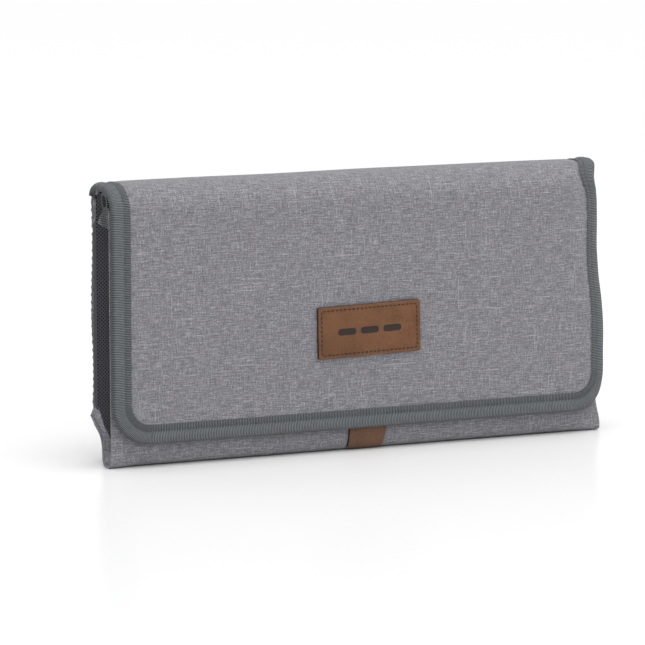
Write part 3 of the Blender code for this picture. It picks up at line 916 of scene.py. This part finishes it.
def build_end_loop(side, label):
    """The tape's tail, folded back on itself in a small loop."""
    loop = round_path([
        (-4.6, 151.5), (-1.6, 155.0), (1.6, 159.0), (3.0, 162.6), (2.0, 165.6), (-0.6, 166.6), (-3.6, 165.4),
        (-5.4, 162.0), (-5.8, 158.0), (-5.9, 151.5),
    ])
    section = np.array([
        (0.0, 0.0), (0.3, 0.8), (2.0, 0.8), (3.8, 0.7), (4.0, 0.0), (3.8, -0.7), (2.0, -0.7), (0.3, -0.8),
    ])
    spots = loop[:, None, :] + left_of(loop)[:, None, :] * section[:, 1:]
    rings = stacked(end_edge(side, 1.5) - side * section[:, 0], spots[..., 0], spots[..., 1])
    uv = stacked(travel(loop)[:, None] * MM, np.linspace(0, 0.01, len(section)))
    tail = sweep(label + "_end_loop", rings, GROSGRAIN, uv)
    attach(tail, "pouch")


def build_ends():
    """The pouch's two ends, each a mesh over a solid base, a tape and the tape's tail."""
    for label, side in (("left", -1), ("right", 1)):
        build_end_mesh(side, label)
        build_end_base(side, label)
        build_end_tape(side, label)
        build_end_loop(side, label)


def build_hood():
    """The cover over the folded mat, just inside the flap's roof, and the tapes on its ends."""
    rows = np.linspace(0.6, 19.0, 22)
    columns = np.linspace(-FLAP_HALF + 2.5, FLAP_HALF - 2.5, 120)
    a, q = np.meshgrid(columns, rows)
    outer = flap_point(a, q, -3.5)
    inner = flap_point(a, q, -4.3)
    hood = two_faced("hood_cover", outer, inner, stacked(a * MM, -q * MM), MELANGE, LINING)
    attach(hood, "pouch")
    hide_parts("hood_shell")
    inset, lift = np.array([
        (0.0, -3.9), (0.3, -3.3), (2.0, -3.2), (8.0, -3.25), (8.0, -3.5), (3.0, -3.6), (3.0, -4.2),
        (8.0, -4.3), (8.0, -4.6), (2.0, -4.6), (0.3, -4.5),
    ]).T
    path = np.linspace(0.6, 19.0, 24)[:, None]
    for label, side in (("left", -1), ("right", 1)):
        rings = flap_point(side * (FLAP_HALF - COVER_INSET - inset), path, lift)
        uv = stacked(path * MM, np.linspace(0, 0.01, len(inset)))
        tape = sweep(label + "_hood_tape", rings, GROSGRAIN, uv)
        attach(tape, "pouch")
        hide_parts(label + "_hood_binding")


# ------------------------ strap and press stud
# (share of the strap's half width, height) round the strap
STRAP_SECTION = [
    (-1.0, -0.55), (-0.995, 0.0), (-0.98, 0.6), (-0.93, 1.0), (-0.6, 1.05), (0.0, 1.08), (0.6, 1.05),
    (0.93, 1.0), (0.98, 0.6), (0.995, 0.0), (1.0, -0.55), (0.93, -0.8), (0.0, -0.8), (-0.93, -0.8),
]
STRAP_EDGES = ([0, 1], [1, 2], [8, 9], [9, 10], [10, 11], [0, 13])      # the section's cut edges


def build_strap():
    """The leather strap, with a rounded top end under the flap."""
    path = round_path([
        (-14.9, 46.0), (-14.95, 36.0), (-15.0, 24.0), (-15.5, 16.0), (-16.25, 11.0), (-16.1, 6.0),
        (-14.8, 2.6), (-13.2, 1.6),
    ])
    path, at = resample(path, 0.8)
    out = -left_of(path)
    out[out[:, 0] > 0] *= -1
    rings = []
    uv = []
    for (y, z), (oy, oz), distance in zip(path, out, at):
        near = max(0.0, STRAP_CORNER - distance)
        half = STRAP_HALF - (STRAP_CORNER - math.sqrt(max(STRAP_CORNER ** 2 - near * near, 0.0))) * 0.97
        half *= 1.0 - 0.06 * float(smooth(16.0, 2.0, z))
        lean = 2.9 - 2.4 * float(smooth(20.0, 1.0, z))
        rings.append([(lean + half * across, y + oy * lift, z + oz * lift) for across, lift in STRAP_SECTION])
        uv.append([(half * across * MM, distance * MM) for across, lift in STRAP_SECTION])
    strap = sweep("strap_band", np.array(rings), STRAP_LEATHER, np.array(uv))
    strap.data.materials.append(LEATHER_EDGE)
    for polygon in strap.data.polygons:
        if sorted({index % len(STRAP_SECTION) for index in polygon.vertices}) in STRAP_EDGES:
            polygon.material_index = 1
    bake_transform(strap)
    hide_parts("strap")


def build_stud():
    """The press stud: a socket on the strap and a post on the flap."""
    socket = turned("stud_socket", [
        (3.3, 0.35), (3.1, 0.0), (3.3, -0.5), (4.2, -0.75), (5.4, -0.7), (6.0, -0.35), (6.0, 0.35),
    ], (0.0, -15.35, STUD_Z), METAL)
    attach(socket, "strap")
    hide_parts("snap_socket")
    stud = turned("stud_post", [
        (0.05, 2.15), (1.6, 2.05), (2.1, 1.7), (2.2, 1.35), (1.8, 1.0), (2.0, 0.75), (4.6, 0.7), (5.6, 0.45),
        (5.8, 0.0), (5.8, -0.5), (0.05, -0.5),
    ], (0.0, -17.7, STUD_Z), METAL)
    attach(stud, "flap_front")
    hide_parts("snap_stud")


# ------------------------ mat
def hinge_end(y, centre_y, centre_z, up):
    """Half of the rounded fold by which the panel with its front at y meets its neighbour."""
    radius = 2.15
    toward = -1.0 if centre_y > y + 1 else 1.0
    arc = []
    for angle in np.linspace(0.0, math.pi / 2, 7):
        rise = 1.1 * math.sin(angle) - 1.18
        arc.append((centre_y + toward * radius * math.cos(angle), centre_z + up * rise))
    arc.append((centre_y + toward * 0.15, centre_z - up * 0.7))
    return arc if centre_y < y else arc[::-1]


def mat_section(index):
    """The four stretches of (y, z) points round a panel: front, top, rear and bottom."""
    y = MAT_FRONT + MAT_PITCH * index
    back = y + MAT_THICKNESS
    joint_low, joint_high = y - 0.15, back + 0.15
    # Every other panel has its hinges the other way round.
    if index % 2 == 1:
        joint_low, joint_high = joint_high, joint_low
    if index == 4:
        angles = np.linspace(0, math.pi, 9)
        top = [(y + 1.05 - 1.05 * math.cos(t), MAT_HIGH + 0.9 + 1.1 * math.sin(t)) for t in angles]
    else:
        top = hinge_end(y, joint_high, MAT_HIGH, 1.0)[::-1]
    bottom = hinge_end(y, joint_low, MAT_LOW, -1.0)
    rows = 110 if index > 2 else 34      # the two outer panels show their wavy ends
    front_z = np.linspace(MAT_LOW + 2.6, MAT_HIGH - 2.6, rows)
    front = [(y, z) for z in front_z]
    rear = [(back, z) for z in front_z[::-1]]
    return front, top, rear, bottom


def mat_ring(x, index, outline):
    """A panel's outline at x. Near its ends it is pinched by the seam, and its edge wanders."""
    end_inset = (3.4, 2.4, 0.9, 0.3, 0.0)[index]
    middle_y = MAT_FRONT + MAT_PITCH * index + MAT_THICKNESS / 2
    gap = MAT_HALF - abs(x)
    y, z = outline.T
    inside = smooth(MAT_LOW, MAT_LOW + 3.0, z) * smooth(MAT_HIGH, MAT_HIGH - 3.0, z)
    squeeze = 1.0 - 0.28 * inside * math.exp(-((gap - 8.5) / 1.6) ** 2)
    squeeze *= 1.0 - 0.55 * float(smooth(1.2, 0.0, gap))
    sway = 0.6 * np.sin(z / 0.75 + index + 0.8 * np.sin(z / 9.0)) * smooth(7.0, 0.0, gap) * inside
    wander = 0.45 * np.sin(z / 13.0 + index * 1.7) * smooth(10.0, 0.0, gap) * inside
    out = math.copysign(1.0, x) * (sway + wander) * smooth(3.0, 0.0, gap)
    shifted = x * (MAT_HALF - end_inset) / MAT_HALF + out
    return stacked(shifted, middle_y + (y - middle_y) * squeeze + 0.12 * sway, z)


def paint_panel(panel, index, stretches, stations):
    """Mélange cloth on the panel's ends and underside. The wipe-clean face keeps the first material."""
    first, second, third, around = np.cumsum([len(stretch) for stretch in stretches])
    for polygon in panel.data.polygons:
        if len(polygon.vertices) != 4:
            polygon.material_index = 1
            continue
        spot = min(v % around for v in polygon.vertices)
        station = min(v // around for v in polygon.vertices)
        if spot < first:
            under = index % 2 == 1
        elif spot < second:
            under = index == 4
        elif spot < third:
            under = index % 2 == 0
        else:
            under = index > 0
        if under or station < 10 or station > stations - 12:
            polygon.material_index = 1


def build_mat():
    """The five padded panels, folded on each other."""
    stations = np.concatenate([
        np.linspace(-MAT_HALF, -MAT_HALF + 12.0, 16),
        np.linspace(-MAT_HALF + 16.0, MAT_HALF - 16.0, 64),
        np.linspace(MAT_HALF - 12.0, MAT_HALF, 16),
    ])
    for index in range(5):
        stretches = mat_section(index)
        outline = np.array(sum(stretches, []))
        rings = np.array([mat_ring(x, index, outline) for x in stations])
        uv = stacked(stations[:, None] * MM, travel(outline) * MM)
        panel = sweep("mat_panel_" + str(index + 1), rings, WIPE_CLEAN, uv)
        panel.data.materials.append(MELANGE)
        paint_panel(panel, index, stretches, len(stations))
        body = "mat_" + str(index + 1)
        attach(panel, body)
        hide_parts(body + "_core", body + "_sleeve", body + "_left_binding", body + "_right_binding")


# ------------------------ room, light and camera
def add_light(name, kind, location, toward, energy):
    """A lamp that shines along `toward`."""
    lamp = bpy.data.lights.new(name, kind)
    lamp.energy = energy
    holder = add_object(name, lamp)
    holder.location = location
    holder.rotation_euler = Vector(toward).to_track_quat("-Z", "Y").to_euler()
    return lamp


def build_stage():
    """A pale floor, a white surround and soft light from above and in front."""
    bpy.ops.mesh.primitive_plane_add(size=12.0, location=(0, 0, -0.0002))
    floor = bpy.context.object
    floor.name = "floor"
    n = Nodes("floor_white")
    n.shader.inputs["Base Color"].default_value = (0.95, 0.95, 0.95, 1.0)
    n.shader.inputs["Roughness"].default_value = 0.26
    n.shader.inputs["Specular IOR Level"].default_value = 0.42
    floor.data.materials.append(n.material)
    floor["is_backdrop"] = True
    world = bpy.data.worlds.new("studio")
    world.use_nodes = True
    world.node_tree.nodes["Background"].inputs["Color"].default_value = (1.0, 1.0, 1.0, 1.0)
    world.node_tree.nodes["Background"].inputs["Strength"].default_value = 0.66
    bpy.context.scene.world = world
    for name, toward, strength, spread in (
        ("overhead", (-0.06, 0.16, -1.0), 1.85, 45.0),
        ("front", (-0.05, 0.8, -0.60), 0.20, 30.0),
    ):
        add_light(name, "SUN", (0.0, 0.0, 1.5), toward, strength).angle = math.radians(spread)
    add_light("key", "AREA", (0.22, -0.55, 0.62), (-0.22, 0.53, -0.50), 0.6).size = 0.5
    bpy.context.scene.view_settings.view_transform = "Standard"


def build_camera():
    """The camera, in front, to the left and a little above."""
    azimuth = math.radians(-24.9)
    elevation = math.radians(8.3)
    distance = 2.6
    target = Vector((-0.0215, 0.0, 0.0787))
    away = Vector((
        math.sin(azimuth) * math.cos(elevation),
        -math.cos(azimuth) * math.cos(elevation),
        math.sin(elevation),
    ))
    camera_data = bpy.data.cameras.new("camera")
    camera_data.sensor_width = 36.0
    camera_data.lens = 233.9
    camera_data.clip_start = 0.05
    camera_data.clip_end = 60.0
    camera = add_object("camera", camera_data)
    camera.location = target + away * distance
    camera.rotation_euler = (-away).to_track_quat("-Z", "Y").to_euler()
    bpy.context.scene.camera = camera


build_flap()
build_patch()
build_body()
build_pouch_lining()
build_mouth_tape()
build_ends()
build_hood()
build_strap()
build_stud()
build_mat()
build_stage()
build_camera()

SIZE["visual"] = corners(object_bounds())
